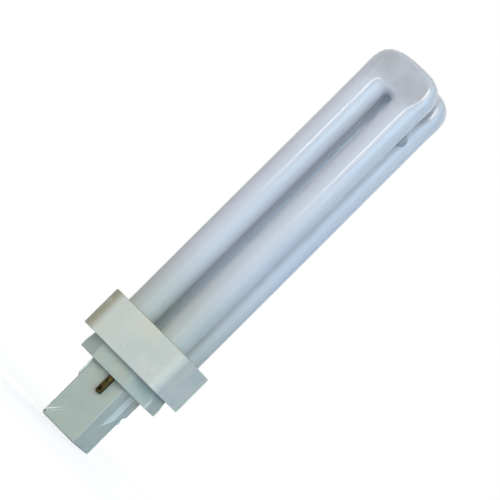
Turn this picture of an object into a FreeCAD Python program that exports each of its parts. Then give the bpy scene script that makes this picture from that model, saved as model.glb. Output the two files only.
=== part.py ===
import FreeCAD, Part
import math
import os

import Sketcher
from FreeCAD import Vector

# A two-pin compact fluorescent lamp: two glass U tubes side by side in a square plastic
# block, with a tier, a hollow post and two contact pins under it.
# Millimetres. +Z runs along the lamp, towards the bends. The origin is in the middle of the
# cap, at the height of the seat that the tier's underside makes. +X runs across the limbs of
# one U, and +Y runs from the front U to the rear U.

SIZES = [
    # The glass
    ("tube_diameter", 11.3, "outside of each limb"),
    ("limb_pitch", 15.1, "between the two limbs of one U, along X"),
    ("pair_pitch", 20.4, "between the two U's, along Y"),
    ("tube_top", 142, "top of the bends above the seat"),
    ("bend_height", 13.8, "top of the bend down to its crotch"),
    ("bend_flat", 0.9, "level strip left between the bend's two rounded top edges"),
    ("crotch_inset", 1.2, "foot of the arch under the bend, short of each limb's axis"),
    ("crotch_rise", 1.8, "rise of that arch"),
    ("crotch_round", 1.2, "rounding of the arch's edges"),
    ("tip_room", 0.3, "sealed pumping tip to the plate"),
    ("tip_diameter", 2.4, "pumping tip"),
    ("tip_length", 0.7, "pumping tip below its limb"),
    ("bridge_end_round", 3, "rounding of the limbs that the bridge joins"),
    ("bridge_diameter", 4.8, "cross tube between the two U's"),
    ("bridge_rise", 3.3, "its axis above the ends of those limbs"),
    ("wired_end_round", 3.5, "rounding of the limbs that hold the filaments"),
    ("pinch_width", 6.6, "pinched seal, along X"),
    ("pinch_thickness", 2.4, "pinched seal, along Y"),
    ("pinch_length", 2.6, "pinched seal below its limb"),
    ("pinch_room", 2.4, "pinched seal to the plate"),
    ("pinch_wire_gap", 3.2, "between the two wires of one seal"),
    # The silicone dab that ties the two U's together
    ("spacer_reach", 9.7, "middle of the dab from the lamp's axis, along X"),
    ("spacer_drop", 20.4, "its middle below the top of the bends"),
    ("spacer_width", 4.2, "along X"),
    ("spacer_height", 4.6, "along Z"),
    ("spacer_wrap", 1.9, "how far it runs past each limb's nearest point"),
    # The square block
    ("block_side_margin", 4.3, "limbs to its outside, along X"),
    ("block_end_margin", 1.65, "limbs to its outside, along Y"),
    ("block_height", 15.2, "along Z"),
    ("block_corner", 3.7, "rounding of its upright edges"),
    ("block_wall", 1.2, "side walls"),
    ("block_top", 2, "top wall"),
    ("block_top_round", 0.6, "rounding of the top edge"),
    ("block_rim_round", 0.35, "rounding of the lower rim"),
    ("collar_wall", 1, "collar round each limb hole"),
    ("collar_room", 0.8, "cross tube to the lower ends of the collars"),
    ("limb_clearance", 0.3, "limb to the wall of its hole, filled with cement"),
    ("stop_side", 2.2, "square stop in each corner, above the plate"),
    ("cement_film", 0.03, "left each side of the cement"),
    ("cement_lip", 0.5, "cement below the collar"),
    ("cement_recess", 0.5, "cement below the block's top"),
    # The cap
    ("tier_height", 6.2, "seat to the underside of the block"),
    ("tier_width", 31, "along X, over the retention lips"),
    ("tier_front", 15.2, "its front and rear faces, along X"),
    ("tier_side", 13.1, "its side faces, along Y"),
    ("tier_margin", 2, "front face beyond the pin's axis, along Y"),
    ("tier_corner", 0.7, "rounding of its upright edges"),
    ("tier_edge_round", 0.3, "rounding of its lower edge"),
    ("lip_groove", 0.9, "groove above each retention lip"),
    ("lip_height", 2.6, "retention lip, up from the seat"),
    ("plate_thickness", 2.2, "plate that closes the block"),
    ("plate_fit", 0.12, "plate to the block's wall"),
    ("post_width", 15.2, "along X"),
    ("post_depth", 20.4, "along Y"),
    ("post_length", 24.2, "below the seat"),
    ("post_corner", 0.8, "rounding of its upright edges"),
    ("post_end_round", 0.8, "rounding of its lower edge"),
    ("post_wall", 1.3, "walls and floor"),
    ("pip_diameter", 1.4, "moulded pip on each side of the post"),
    ("pip_proud", 0.45, "pip beyond the wall"),
    ("pip_level", 9.6, "pip below the seat"),
    ("pip_inset", 1.5, "pip from the rear wall"),
    ("rib_proud", 0.8, "keying rib on each side of the post, beyond the wall"),
    ("rib_start", 4, "where it begins to rise, before the middle of the side"),
    ("rib_crest", 6.8, "its crest from the rear wall"),
    ("rib_point", 15.8, "its lower point below the seat"),
    ("rib_knee", 9.5, "foot of its crest below the seat"),
    ("rib_foot", 6.5, "its rear end below the seat"),
    # The contact pins
    ("pin_gap", 0.55, "between the post and each pin"),
    ("pin_offset", 1.9, "each pin from the middle, along X"),
    ("pin_diameter", 2.5, "free end, outside"),
    ("pin_shoulder", 0.2, "step out to the stretch held in the cap"),
    ("pin_wall", 0.5, "free end, round the hollow for the wire"),
    ("pin_length", 7.1, "below the seat"),
    ("pin_end_round", 0.3, "rounding of the pin's mouth"),
    ("pin_head_rim", 0.35, "head beyond the stretch held in the cap"),
    ("pin_head_thickness", 0.45, "head on the plate"),
    ("pin_fit", 0.04, "pin to its hole"),
    # The wires
    ("lead_diameter", 0.6, "the tube's own wires"),
    ("lead_bend", 0.75, "inside the cap"),
    ("lead_run", 1.25, "seal down to the wire's level run"),
    ("lead_end_gap", 0.6, "wire end inside the mouth of the pin"),
    ("sleeve_wall", 0.22, "insulating sleeve"),
    ("sleeve_fit", 0.05, "sleeve to wire"),
    ("fine_wire_diameter", 0.5, "starter and capacitor wires"),
    ("fine_wire_bend", 1.4, "starter and capacitor wires"),
    ("splice_diameter", 1.9, "crimped ferrule"),
    ("splice_wall", 0.22, "crimped ferrule"),
    ("splice_length", 4.2, "crimped ferrule"),
    ("splice_top", 7, "top of the ferrule above the seat"),
    ("splice_spread", 10, "between the two ferrules, along Y"),
    ("wire_spacing", 0.62, "starter wire to capacitor wire in the ferrule"),
    # The starter and the capacitor in the post
    ("rest_gap", 0.3, "loose parts above the floor of the post"),
    ("side_gap", 0.4, "loose parts to the wall of the post"),
    ("parting_gap", 1.6, "between the glow switch and the capacitor"),
    ("starter_drop", 4.2, "top of the glow switch below the seat"),
    ("starter_end_flat", 1.2, "flat left on its rounded lower end, across"),
    ("starter_top_flat", 2, "flat left on its rounded upper end, across"),
    ("starter_seal_width", 4, "its pinched end, along Y"),
    ("starter_seal_thickness", 1.6, "its pinched end, along X"),
    ("starter_seal_height", 2, "its pinched end"),
    ("starter_wire_gap", 2.4, "between its wires"),
    ("capacitor_thickness", 3, "along X"),
    ("capacitor_width", 8.4, "along Y"),
    ("capacitor_height", 9, "along Z"),
    ("capacitor_round", 0.6, "its dipped edges"),
    ("capacitor_wire_gap", 5, "between its wires"),
    ("wire_rise", 2.6, "starter wire above its seal, before it turns"),
    ("turn_level", 0.6, "starter wire's upper turn above the seat"),
    ("cross_level", 1.8, "capacitor wire's upper turn above the seat"),
    ("climb_level", 2.2, "capacitor wire's lower turn below the seat"),
]

NEAR = 0.01
LONGEST_SETBACK = 0.49  # share of a run that one bend may take

# Heights and widths that more than one piece shares
BEND_BASE = "(Sizes.tube_top - Sizes.bend_height - Sizes.crotch_rise)"
HOLE_DIAMETER = "(Sizes.tube_diameter + 2 * Sizes.limb_clearance)"
BLOCK_WIDTH = "(Sizes.limb_pitch + Sizes.tube_diameter + 2 * Sizes.block_side_margin)"
BLOCK_DEPTH = "(Sizes.pair_pitch + Sizes.tube_diameter + 2 * Sizes.block_end_margin)"
INNER_WIDTH = f"({BLOCK_WIDTH} - 2 * Sizes.block_wall)"
INNER_DEPTH = f"({BLOCK_DEPTH} - 2 * Sizes.block_wall)"
BLOCK_TOP = "(Sizes.tier_height + Sizes.block_height)"
CEILING = f"({BLOCK_TOP} - Sizes.block_top)"
PLATE_TOP = "(Sizes.tier_height + Sizes.plate_thickness)"
BRIDGED_END = f"({PLATE_TOP} + Sizes.tip_room + Sizes.tip_length)"
BRIDGE_LEVEL = f"({BRIDGED_END} + Sizes.bridge_rise)"
COLLAR_END = f"({BRIDGE_LEVEL} + Sizes.bridge_diameter / 2 + Sizes.collar_room)"
PINCH_END = f"({PLATE_TOP} + Sizes.pinch_room)"
WIRED_END = f"({PINCH_END} + Sizes.pinch_length)"
POST_FLOOR = "(Sizes.post_wall - Sizes.post_length)"
CAVITY_WIDTH = "(Sizes.post_width - 2 * Sizes.post_wall)"
CAVITY_DEPTH = "(Sizes.post_depth - 2 * Sizes.post_wall)"
PIN_SPREAD = "(Sizes.post_depth + Sizes.pin_diameter + 2 * Sizes.pin_gap)"
TIER_DEPTH = f"({PIN_SPREAD} + 2 * Sizes.tier_margin)"
PIN_SHANK = "(Sizes.pin_diameter + 2 * Sizes.pin_shoulder)"
PIN_HEAD = f"({PIN_SHANK} + 2 * Sizes.pin_head_rim)"
LOOSE_FLOOR = f"({POST_FLOOR} + Sizes.rest_gap)"
LOOSE_WIDTH = f"({CAVITY_WIDTH} - 2 * Sizes.side_gap)"
STARTER_DIAMETER = f"({LOOSE_WIDTH} - Sizes.capacitor_thickness - Sizes.parting_gap)"
STARTER_GLASS = f"(-{LOOSE_FLOOR} - Sizes.starter_drop - Sizes.starter_seal_height)"
STARTER_X = f"(({STARTER_DIAMETER} - {LOOSE_WIDTH}) / 2)"
CAPACITOR_X = f"(({LOOSE_WIDTH} - Sizes.capacitor_thickness) / 2)"

CORNERS = [("front_left", -1, -1), ("front_right", 1, -1), ("rear_left", -1, 1), ("rear_right", 1, 1)]
PIN_SIDES = [("front", -1), ("rear", 1)]

doc = FreeCAD.newDocument("lamp")
sheet = doc.addObject("Spreadsheet::Sheet", "Sizes")
for row, (alias, number, note) in enumerate(SIZES, start=1):
    sheet.set(f"A{row}", alias)
    sheet.set(f"B{row}", str(number))
    sheet.set(f"C{row}", note)
    sheet.setAlias(f"B{row}", alias)
doc.recompute()


def size(expression):
    # The value of an expression in the sheet's names
    return float(sheet.evalExpression(expression))


def bind(target, prop, expression):
    target.setExpression(prop, expression)


# Bodies, sketches and features

def new_body(label):
    body = doc.addObject("PartDesign::Body", label)
    body.Label = label
    body.AllowCompound = True
    return body


def sketch_on(body, name, role, offset="0"):
    plane = next(item for item in body.Origin.OriginFeatures if item.Role == role)
    sketch = body.newObject("Sketcher::SketchObject", name)
    sketch.AttachmentSupport = [(plane, "")]
    sketch.MapMode = "FlatFace"
    bind(sketch, "AttachmentOffset.Base.z", offset)
    return sketch


def set_datum(sketch, kind, elements, expression):
    number = sketch.addConstraint(Sketcher.Constraint(kind, *elements, size(expression)))
    bind(sketch, f"Constraints[{number}]", expression)


def place_point(sketch, element, corner, x_side, x_size, y_side, y_size):
    # Holds a point at a signed distance from the sketch's origin along each axis
    for kind, side, distance in (("DistanceX", x_side, x_size), ("DistanceY", y_side, y_size)):
        if side > 0:
            set_datum(sketch, kind, (-1, 1, element, corner), distance)
        elif side < 0:
            set_datum(sketch, kind, (element, corner, -1, 1), distance)
    if x_side == 0:
        sketch.addConstraint(Sketcher.Constraint("PointOnObject", element, corner, -2))
    if y_side == 0:
        sketch.addConstraint(Sketcher.Constraint("PointOnObject", element, corner, -1))


def add_rectangle(sketch, width, depth):
    # A rectangle round the sketch's origin
    half_x = size(width) / 2
    half_y = size(depth) / 2
    corners = [(-half_x, -half_y), (half_x, -half_y), (half_x, half_y), (-half_x, half_y)]
    points = [Vector(x, y, 0) for x, y in corners]
    first = sketch.GeometryCount
    for start, end in zip(points, points[1:] + points[:1]):
        sketch.addGeometry(Part.LineSegment(start, end))
    for side in range(4):
        follower = first + (side + 1) % 4
        sketch.addConstraint(Sketcher.Constraint("Coincident", first + side, 2, follower, 1))
        level = "Horizontal" if side % 2 == 0 else "Vertical"
        sketch.addConstraint(Sketcher.Constraint(level, first + side))
    sketch.addConstraint(Sketcher.Constraint("Symmetric", first, 1, first + 2, 1, -1, 1))
    set_datum(sketch, "DistanceX", (first, 1, first, 2), width)
    set_datum(sketch, "DistanceY", (first + 1, 1, first + 1, 2), depth)


def add_circle(sketch, diameter, x_side, x_size, y_side, y_size):
    centre = Vector(x_side * size(x_size), y_side * size(y_size), 0)
    circle = Part.Circle(centre, Vector(0, 0, 1), size(diameter) / 2)
    number = sketch.addGeometry(circle)
    set_datum(sketch, "Diameter", (number,), diameter)
    place_point(sketch, number, 3, x_side, x_size, y_side, y_size)


def add_limb_circle(sketch, diameter, x_side, y_side):
    add_circle(sketch, diameter, x_side, "Sizes.limb_pitch / 2", y_side, "Sizes.pair_pitch / 2")


def hollow_arc(start, end):
    # The quarter circle that runs clockwise from one point to the other
    centre = Vector(start.x, end.y, 0)
    if (start - centre).cross(end - centre).z > 0:
        centre = Vector(end.x, start.y, 0)
    outwards = ((start + end) / 2 - centre).normalize()
    return Part.Arc(start, centre + outwards * (start - centre).Length, end)


def add_profile(sketch, points, hollows=None):
    # A closed outline through points given as expressions, with a quarter circle after some
    hollows = hollows or {}
    spots = [Vector(size(x), size(y), 0) for x, y in points]
    first = sketch.GeometryCount
    for index, (start, end) in enumerate(zip(spots, spots[1:] + spots[:1])):
        is_hollow = index in hollows
        sketch.addGeometry(hollow_arc(start, end) if is_hollow else Part.LineSegment(start, end))
    # A clockwise arc counts its two ends the other way round
    begins = [2 if index in hollows else 1 for index in range(len(points))]
    for index, (x, y) in enumerate(points):
        element = first + index
        following = (index + 1) % len(points)
        sketch.addConstraint(Sketcher.Constraint(
            "Coincident", element, 3 - begins[index], first + following, begins[following]))
        x_side = (size(x) > 0) - (size(x) < 0)
        y_side = (size(y) > 0) - (size(y) < 0)
        x_size = x if x_side >= 0 else f"-({x})"
        y_size = y if y_side >= 0 else f"-({y})"
        place_point(sketch, element, begins[index], x_side, x_size, y_side, y_size)
    for index, radius in hollows.items():
        set_datum(sketch, "Radius", (first + index,), radius)


def pad(body, sketch, name, length, both_ways=False):
    feature = body.newObject("PartDesign::Pad", name)
    feature.Profile = sketch
    feature.SideType = "Symmetric" if both_ways else "One side"
    bind(feature, "Length", length)
    doc.recompute()
    return feature


def pocket(body, sketch, name, length, upwards=False, both_ways=False):
    feature = body.newObject("PartDesign::Pocket", name)
    feature.Profile = sketch
    feature.SideType = "Symmetric" if both_ways else "One side"
    feature.Reversed = upwards
    bind(feature, "Length", length)
    doc.recompute()
    return feature


def spin(body, sketch, name):
    # A full turn about the sketch's upright axis
    feature = body.newObject("PartDesign::Revolution", name)
    feature.Profile = sketch
    feature.ReferenceAxis = (sketch, ["V_Axis"])
    feature.Angle = 360
    doc.recompute()
    return feature


def fillet(body, base, name, edges, radius):
    feature = body.newObject("PartDesign::Fillet", name)
    feature.Base = (base, edges)
    bind(feature, "Radius", radius)
    doc.recompute()
    return feature


def upright_edges(feature, width, depth):
    # The upright edges at the corners of a rectangle round the axis
    half_x = size(width) / 2
    half_y = size(depth) / 2
    found = []
    for number, edge in enumerate(feature.Shape.Edges, start=1):
        box = edge.BoundBox
        is_upright = box.XLength < NEAR and box.YLength < NEAR
        at_corner = abs(abs(box.XMin) - half_x) < NEAR and abs(abs(box.YMin) - half_y) < NEAR
        if is_upright and at_corner:
            found.append(f"Edge{number}")
    return found


def level_edges(feature, height, outside=0):
    # The edges that lie flat at one height, beyond a distance from the axis
    found = []
    for number, edge in enumerate(feature.Shape.Edges, start=1):
        box = edge.BoundBox
        is_flat = abs(box.ZMin - height) < NEAR and abs(box.ZMax - height) < NEAR
        reach = max(abs(box.XMin), abs(box.XMax), abs(box.YMin), abs(box.YMax))
        if is_flat and reach > outside:
            found.append(f"Edge{number}")
    return found


# The sealed glass tube

def add_slot(sketch, y_side):
    # The outline of one bend seen from above: two half circles and their tangents
    half_pitch = size("Sizes.limb_pitch / 2")
    middle = y_side * size("Sizes.pair_pitch / 2")
    radius = size("Sizes.tube_diameter / 2")
    upwards = Vector(0, 0, 1)
    right = Part.Circle(Vector(half_pitch, middle, 0), upwards, radius)
    left = Part.Circle(Vector(-half_pitch, middle, 0), upwards, radius)
    quarter = math.pi / 2
    first = sketch.GeometryCount
    sketch.addGeometry(Part.ArcOfCircle(right, -quarter, quarter))
    sketch.addGeometry(Part.LineSegment(Vector(half_pitch, middle + radius, 0),
                                        Vector(-half_pitch, middle + radius, 0)))
    sketch.addGeometry(Part.ArcOfCircle(left, quarter, 3 * quarter))
    sketch.addGeometry(Part.LineSegment(Vector(-half_pitch, middle - radius, 0),
                                        Vector(half_pitch, middle - radius, 0)))
    for element in range(4):
        following = first + (element + 1) % 4
        sketch.addConstraint(Sketcher.Constraint("Tangent", first + element, 2, following, 1))
    sketch.addConstraint(Sketcher.Constraint("Equal", first, first + 2))
    set_datum(sketch, "Radius", (first,), "Sizes.tube_diameter / 2")
    place_point(sketch, first, 3, 1, "Sizes.limb_pitch / 2", y_side, "Sizes.pair_pitch / 2")
    place_point(sketch, first + 2, 3, -1, "Sizes.limb_pitch / 2", y_side, "Sizes.pair_pitch / 2")


def cut_crotch(body, name, y_side):
    # The arched space under one bend, turned about a level axis, with its two edges rounded
    reach = "(Sizes.limb_pitch / 2 - Sizes.crotch_inset)"
    arch = f"(({reach}^2 + Sizes.crotch_rise^2) / (2 * Sizes.crotch_rise))"
    half = "Sizes.tube_diameter / 2"
    clear = f"({half} + Sizes.crotch_round)"
    level = f"({arch} + Sizes.crotch_round)"
    outline = sketch_on(body, f"{name}_crotch_outline", "YZ_Plane")
    bind(outline, "AttachmentOffset.Base.x", f"{y_side} * Sizes.pair_pitch / 2")
    bind(outline, "AttachmentOffset.Base.y", f"Sizes.tube_top - Sizes.bend_height - {arch}")
    add_profile(outline, [
        (f"-{clear}", "0"),
        (clear, "0"),
        (clear, level),
        (half, level),
        (f"{half} - Sizes.crotch_round", arch),
        (f"Sizes.crotch_round - {half}", arch),
        (f"-{half}", level),
        (f"-{clear}", level),
    ], hollows={3: "Sizes.crotch_round", 5: "Sizes.crotch_round"})
    groove = body.newObject("PartDesign::Groove", f"{name}_crotch")
    groove.Profile = outline
    groove.ReferenceAxis = (outline, ["H_Axis"])
    groove.Angle = 360
    doc.recompute()


def make_discharge_tube():
    body = new_body("discharge_tube")

    bends = sketch_on(body, "bend_outline", "XY_Plane", BEND_BASE)
    for y_side in (-1, 1):
        add_slot(bends, y_side)
    block = pad(body, bends, "bend_block", f"Sizes.tube_top - {BEND_BASE}")
    crown = level_edges(block, size("Sizes.tube_top"))
    fillet(body, block, "bend_crown", crown, "(Sizes.tube_diameter - Sizes.bend_flat) / 2")

    cut_crotch(body, "front", -1)
    cut_crotch(body, "rear", 1)

    overlap = f"{BEND_BASE} + Sizes.crotch_rise"
    wired = sketch_on(body, "wired_limb_outline", "XY_Plane", WIRED_END)
    for y_side in (-1, 1):
        add_limb_circle(wired, "Sizes.tube_diameter", -1, y_side)
    limbs = pad(body, wired, "wired_limbs", f"{overlap} - {WIRED_END}")
    ends = level_edges(limbs, size(WIRED_END))
    fillet(body, limbs, "wired_ends", ends, "Sizes.wired_end_round")

    bridged = sketch_on(body, "bridged_limb_outline", "XY_Plane", BRIDGED_END)
    for y_side in (-1, 1):
        add_limb_circle(bridged, "Sizes.tube_diameter", 1, y_side)
    limbs = pad(body, bridged, "bridged_limbs", f"{overlap} - {BRIDGED_END}")
    ends = level_edges(limbs, size(BRIDGED_END))
    fillet(body, limbs, "bridged_ends", ends, "Sizes.bridge_end_round")

    across = sketch_on(body, "bridge_outline", "XZ_Plane")
    add_circle(across, "Sizes.bridge_diameter", 1, "Sizes.limb_pitch / 2", 1, BRIDGE_LEVEL)
    pad(body, across, "bridge", "Sizes.pair_pitch", both_ways=True)

    for side, name in ((-1, "front"), (1, "rear")):
        seal = sketch_on(body, f"{name}_pinch_outline", "XY_Plane", PINCH_END)
        bind(seal, "AttachmentOffset.Base.x", "-Sizes.limb_pitch / 2")
        bind(seal, "AttachmentOffset.Base.y", f"{side} * Sizes.pair_pitch / 2")
        add_rectangle(seal, "Sizes.pinch_width", "Sizes.pinch_thickness")
        pad(body, seal, f"{name}_pinch", "Sizes.pinch_length + Sizes.wired_end_round")

    tip = sketch_on(body, "tip_outline", "XY_Plane", f"{BRIDGED_END} - Sizes.tip_length")
    add_circle(tip, "Sizes.tip_diameter", 1, "Sizes.limb_pitch / 2", 1, "Sizes.pair_pitch / 2")
    pad(body, tip, "pumping_tip", "Sizes.tip_length + Sizes.bridge_end_round")
    return body


def make_tube_spacer():
    # A dab between the right-hand limbs, hollowed where it takes their shape
    dab = doc.addObject("Part::Ellipsoid", "dab")
    bind(dab, "Radius1", "Sizes.spacer_height / 2")
    bind(dab, "Radius2", "Sizes.spacer_width / 2")
    bind(dab, "Radius3", "(Sizes.pair_pitch - Sizes.tube_diameter) / 2 + Sizes.spacer_wrap")
    bind(dab, "Placement.Base.x", "Sizes.spacer_reach")
    bind(dab, "Placement.Base.z", "Sizes.tube_top - Sizes.spacer_drop")
    limbs = []
    for side, name in ((-1, "front"), (1, "rear")):
        limb = doc.addObject("Part::Cylinder", f"{name}_limb_shape")
        bind(limb, "Radius", "Sizes.tube_diameter / 2 + Sizes.cement_film")
        bind(limb, "Height", "Sizes.tube_top")
        bind(limb, "Placement.Base.x", "Sizes.limb_pitch / 2")
        bind(limb, "Placement.Base.y", f"{side} * Sizes.pair_pitch / 2")
        limbs.append(limb)
    both = doc.addObject("Part::MultiFuse", "limb_shapes")
    both.Shapes = limbs
    spacer = doc.addObject("Part::Cut", "tube_spacer")
    spacer.Base = dab
    spacer.Tool = both
    spacer.Label = "tube_spacer"
    return spacer


# The square block that holds the glass

def make_tube_holder():
    body = new_body("tube_holder")
    outside = sketch_on(body, "block_outline", "XY_Plane", "Sizes.tier_height")
    add_rectangle(outside, BLOCK_WIDTH, BLOCK_DEPTH)
    block = pad(body, outside, "block", "Sizes.block_height")
    corners = upright_edges(block, BLOCK_WIDTH, BLOCK_DEPTH)
    rounded = fillet(body, block, "block_corners", corners, "Sizes.block_corner")
    fillet(body, rounded, "block_top_edge",
           level_edges(rounded, size(BLOCK_TOP)), "Sizes.block_top_round")

    inside = sketch_on(body, "hollow_outline", "XY_Plane", "Sizes.tier_height")
    add_rectangle(inside, INNER_WIDTH, INNER_DEPTH)
    hollow = pocket(body, inside, "hollow", "Sizes.block_height - Sizes.block_top", upwards=True)
    corners = upright_edges(hollow, INNER_WIDTH, INNER_DEPTH)
    hollow = fillet(body, hollow, "hollow_corners", corners, "Sizes.block_corner - Sizes.block_wall")
    inner_reach = size(f"max({INNER_WIDTH}; {INNER_DEPTH})") / 2 + NEAR
    fillet(body, hollow, "block_rim",
           level_edges(hollow, size("Sizes.tier_height"), inner_reach), "Sizes.block_rim_round")

    # Four stops in the corners, which the closing plate comes up against
    for name, x_side, y_side in CORNERS:
        stop = sketch_on(body, f"{name}_stop_outline", "XY_Plane", PLATE_TOP)
        bind(stop, "AttachmentOffset.Base.x", f"{x_side} * ({INNER_WIDTH} - Sizes.stop_side) / 2")
        bind(stop, "AttachmentOffset.Base.y", f"{y_side} * ({INNER_DEPTH} - Sizes.stop_side) / 2")
        add_rectangle(stop, "Sizes.stop_side", "Sizes.stop_side")
        pad(body, stop, f"{name}_stop", f"{CEILING} - {PLATE_TOP} + Sizes.block_top / 2")

    for name, x_side, y_side in CORNERS:
        collar = sketch_on(body, f"{name}_collar_outline", "XY_Plane", COLLAR_END)
        add_limb_circle(collar, f"{HOLE_DIAMETER} + 2 * Sizes.collar_wall", x_side, y_side)
        pad(body, collar, f"{name}_collar", f"{CEILING} - {COLLAR_END} + Sizes.block_top / 2")

    for name, x_side, y_side in CORNERS:
        hole = sketch_on(body, f"{name}_hole_outline", "XY_Plane", COLLAR_END)
        add_limb_circle(hole, HOLE_DIAMETER, x_side, y_side)
        pocket(body, hole, f"{name}_hole", f"{BLOCK_TOP} - {COLLAR_END}", upwards=True)
    return body


def make_holder_cement():
    # One ring of cement round each limb, between the glass and the wall of its hole
    body = new_body("holder_cement")
    foot = f"({COLLAR_END} - Sizes.cement_lip)"
    for name, x_side, y_side in CORNERS:
        ring = sketch_on(body, f"{name}_ring_outline", "XY_Plane", foot)
        add_limb_circle(ring, f"{HOLE_DIAMETER} - 2 * Sizes.cement_film", x_side, y_side)
        add_limb_circle(ring, "Sizes.tube_diameter + 2 * Sizes.cement_film", x_side, y_side)
        pad(body, ring, f"{name}_ring", f"{BLOCK_TOP} - Sizes.cement_recess - {foot}")
    return body


# The cap: closing plate, tier and hollow post, moulded in one

def cut_lip_groove(body, name, side):
    # The side face of the tier leans in above its lip
    half = "Sizes.tier_width / 2"
    points = [
        (f"{side} * {half}", "Sizes.lip_height"),
        (f"{side} * ({half} + Sizes.lip_groove)", "Sizes.lip_height"),
        (f"{side} * ({half} + Sizes.lip_groove)", "Sizes.tier_height"),
        (f"{side} * ({half} - Sizes.lip_groove)", "Sizes.tier_height"),
    ]
    outline = sketch_on(body, f"{name}_groove_outline", "XZ_Plane")
    add_profile(outline, points)
    pocket(body, outline, f"{name}_groove", f"2 * {TIER_DEPTH}", both_ways=True)


def add_key_rib(body, name, side):
    # A rib that rises slowly from the side of the post to its crest, cut off at a slant below
    root = "((Sizes.post_width - Sizes.post_wall) / 2)"
    wall = "Sizes.post_width / 2"
    proud = f"({wall} + Sizes.rib_proud)"
    start = "(-Sizes.rib_start)"
    crest = "(Sizes.post_depth / 2 - Sizes.rib_crest)"
    end = "(Sizes.post_depth / 2 - Sizes.post_corner)"
    plan = sketch_on(body, f"{name}_rib_outline", "XY_Plane", "-Sizes.rib_point")
    section = [(root, start), (wall, start), (proud, crest), (proud, end), (root, end)]
    add_profile(plan, [(f"{side} * {x}", f"{side} * {y}") for x, y in section])
    pad(body, plan, f"{name}_rib", "Sizes.rib_point")

    slant = sketch_on(body, f"{name}_rib_slant_outline", "YZ_Plane", f"{side} * {wall}")
    beyond = "(Sizes.post_depth / 2)"
    below = "(-Sizes.post_length)"
    corners = [
        (start, "-Sizes.rib_point"),
        (crest, "-Sizes.rib_knee"),
        (end, "-Sizes.rib_foot"),
        (beyond, "-Sizes.rib_foot"),
        (beyond, below),
        (start, below),
    ]
    add_profile(slant, [(f"{side} * {y}", z) for y, z in corners])
    pocket(body, slant, f"{name}_rib_slant", "2 * Sizes.rib_proud", upwards=side > 0)


def make_cap_body():
    body = new_body("cap_body")
    # The tier is a rectangle with its four corners cut off
    front = "Sizes.tier_front / 2"
    width = "Sizes.tier_width / 2"
    side = "Sizes.tier_side / 2"
    depth = f"{TIER_DEPTH} / 2"
    outline = sketch_on(body, "tier_outline", "XY_Plane")
    add_profile(outline, [
        (f"-{front}", f"-{depth}"),
        (front, f"-{depth}"),
        (width, f"-{side}"),
        (width, side),
        (front, depth),
        (f"-{front}", depth),
        (f"-{width}", side),
        (f"-{width}", f"-{side}"),
    ])
    tier = pad(body, outline, "tier", "Sizes.tier_height")
    corners = upright_edges(tier, "Sizes.tier_width", "Sizes.tier_side")
    corners += upright_edges(tier, "Sizes.tier_front", TIER_DEPTH)
    tier = fillet(body, tier, "tier_corners", corners, "Sizes.tier_corner")
    fillet(body, tier, "tier_lower_edge", level_edges(tier, 0), "Sizes.tier_edge_round")
    cut_lip_groove(body, "left", -1)
    cut_lip_groove(body, "right", 1)

    outline = sketch_on(body, "plate_outline", "XY_Plane", "Sizes.tier_height")
    plate_width = f"({INNER_WIDTH} - 2 * Sizes.plate_fit)"
    plate_depth = f"({INNER_DEPTH} - 2 * Sizes.plate_fit)"
    add_rectangle(outline, plate_width, plate_depth)
    plate = pad(body, outline, "plate", "Sizes.plate_thickness")
    corners = upright_edges(plate, plate_width, plate_depth)
    fillet(body, plate, "plate_corners", corners, "Sizes.block_corner - Sizes.block_wall")

    outline = sketch_on(body, "post_outline", "XY_Plane", "-Sizes.post_length")
    add_rectangle(outline, "Sizes.post_width", "Sizes.post_depth")
    post = pad(body, outline, "post", "Sizes.post_length")
    corners = upright_edges(post, "Sizes.post_width", "Sizes.post_depth")
    post = fillet(body, post, "post_corners", corners, "Sizes.post_corner")
    fillet(body, post, "post_end", level_edges(post, -size("Sizes.post_length")), "Sizes.post_end_round")

    add_key_rib(body, "left", -1)
    add_key_rib(body, "right", 1)
    pips = sketch_on(body, "pip_outline", "YZ_Plane")
    pip_y = "Sizes.post_depth / 2 - Sizes.pip_inset"
    add_circle(pips, "Sizes.pip_diameter", 1, pip_y, -1, "Sizes.pip_level")
    pad(body, pips, "pips", "Sizes.post_width + 2 * Sizes.pip_proud", both_ways=True)

    inside = sketch_on(body, "cavity_outline", "XY_Plane", POST_FLOOR)
    add_rectangle(inside, CAVITY_WIDTH, CAVITY_DEPTH)
    pocket(body, inside, "cavity", f"{PLATE_TOP} - {POST_FLOOR}", upwards=True)

    for name, side in PIN_SIDES:
        hole = sketch_on(body, f"{name}_pin_hole_outline", "XY_Plane")
        bore = f"{PIN_SHANK} + 2 * Sizes.pin_fit"
        add_circle(hole, bore, -side, "Sizes.pin_offset", side, f"{PIN_SPREAD} / 2")
        pocket(body, hole, f"{name}_pin_hole", PLATE_TOP, upwards=True)
    return body


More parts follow.
